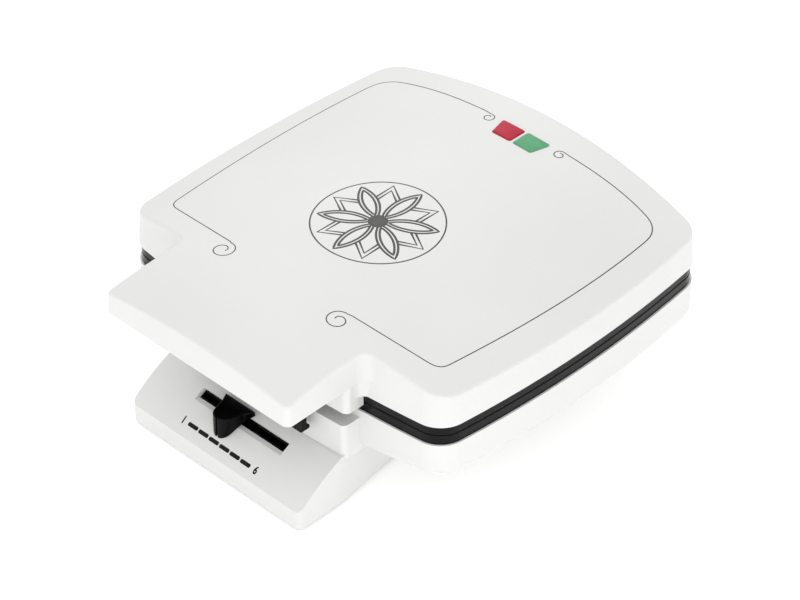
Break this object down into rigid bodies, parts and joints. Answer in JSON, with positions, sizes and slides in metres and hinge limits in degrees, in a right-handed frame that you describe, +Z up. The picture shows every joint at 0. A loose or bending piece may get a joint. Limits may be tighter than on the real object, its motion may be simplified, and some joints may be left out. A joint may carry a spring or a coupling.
{
  "type": "bricelet iron",
  "caption": "Countertop bricelet iron with a crowned hinged lid, handle tongue, latch clip, patterned baking plates and a sliding heat regulator.",
  "frame": {"origin": "centre of the bounding box footprint, at table level under the feet", "axes": "+Z up, -Y towards the handle and the regulator, +X to the right of a user who faces the handle"},
  "size_m": [0.2814, 0.3239, 0.1152],
  "materials": {
    "white_shell": "gloss",
    "black_gloss": "gloss",
    "black_matte": "satin",
    "lamp_red": "gloss",
    "lamp_green": "gloss",
    "neon_glass": "clear",
    "coated_aluminium": "satin",
    "element_steel": "satin",
    "sheet_metal": "satin",
    "screw_steel": "satin",
    "ceramic": "matte",
    "natural_plastic": "matte",
    "foot_rubber": "matte",
    "lead_sleeve": "matte"
  },
  "bodies": {
    "base": {"lower_housing": "white_shell", "lower_rim": "black_gloss", "lower_rim_screws": "screw_steel", "lower_baking_plate": "coated_aluminium", "lower_heating_element": "element_steel", "lower_heat_shield": "sheet_metal", "lower_plate_screws": "screw_steel", "hinge_pins": "screw_steel", "bottom_cover": "black_matte", "cover_screws": "screw_steel", "rubber_feet": "foot_rubber", "slot_guide": "black_matte", "slider_rail": "natural_plastic", "thermostat_bracket": "sheet_metal", "thermostat_body": "ceramic", "terminal_block": "ceramic", "cable_gland": "black_matte", "cord_clamp": "natural_plastic", "thermal_fuse": "ceramic", "base_leads": "lead_sleeve"},
    "lid": {"upper_housing": "white_shell", "lamp_window_red": "lamp_red", "lamp_window_green": "lamp_green", "lamp_holder": "natural_plastic", "neon_lamps": "neon_glass", "handle_cover": "white_shell", "handle_screws": "screw_steel", "latch_pin": "screw_steel", "upper_rim": "black_gloss", "upper_rim_screws": "screw_steel", "upper_baking_plate": "coated_aluminium", "upper_heating_element": "element_steel", "upper_heat_shield": "sheet_metal", "upper_plate_screws": "screw_steel", "lid_leads": "lead_sleeve"},
    "latch": {"latch": "black_matte"},
    "regulator": {"regulator_knob": "black_matte", "regulator_carriage": "black_matte"},
    "spindle": {"thermostat_spindle": "natural_plastic"}
  },
  "joints": [
    {"name": "lid_hinge", "type": "hinge", "parent": "base", "child": "lid", "pos_m": [0, 0.15595, 0.0707], "axis": [-1, 0, 0], "range_deg": [0, 100]},
    {"name": "latch_pivot", "type": "hinge", "parent": "lid", "child": "latch", "pos_m": [0, -0.12215, 0.0836], "axis": [-1, 0, 0], "range_deg": [-3.5, 20]},
    {"name": "knob_slide", "type": "slide", "parent": "base", "child": "regulator", "axis": [1, 0, 0], "range_m": [-0.0241, 0.0383]},
    {"name": "spindle_turn", "type": "hinge", "parent": "base", "child": "spindle", "pos_m": [0.0013, -0.07435, 0.015], "axis": [0, 0, 1], "range_deg": [-103, 163.5]}
  ],
  "couplings": [
    {"joint": "spindle_turn", "follows": "knob_slide", "rad_per_m": 74.074}
  ]
}
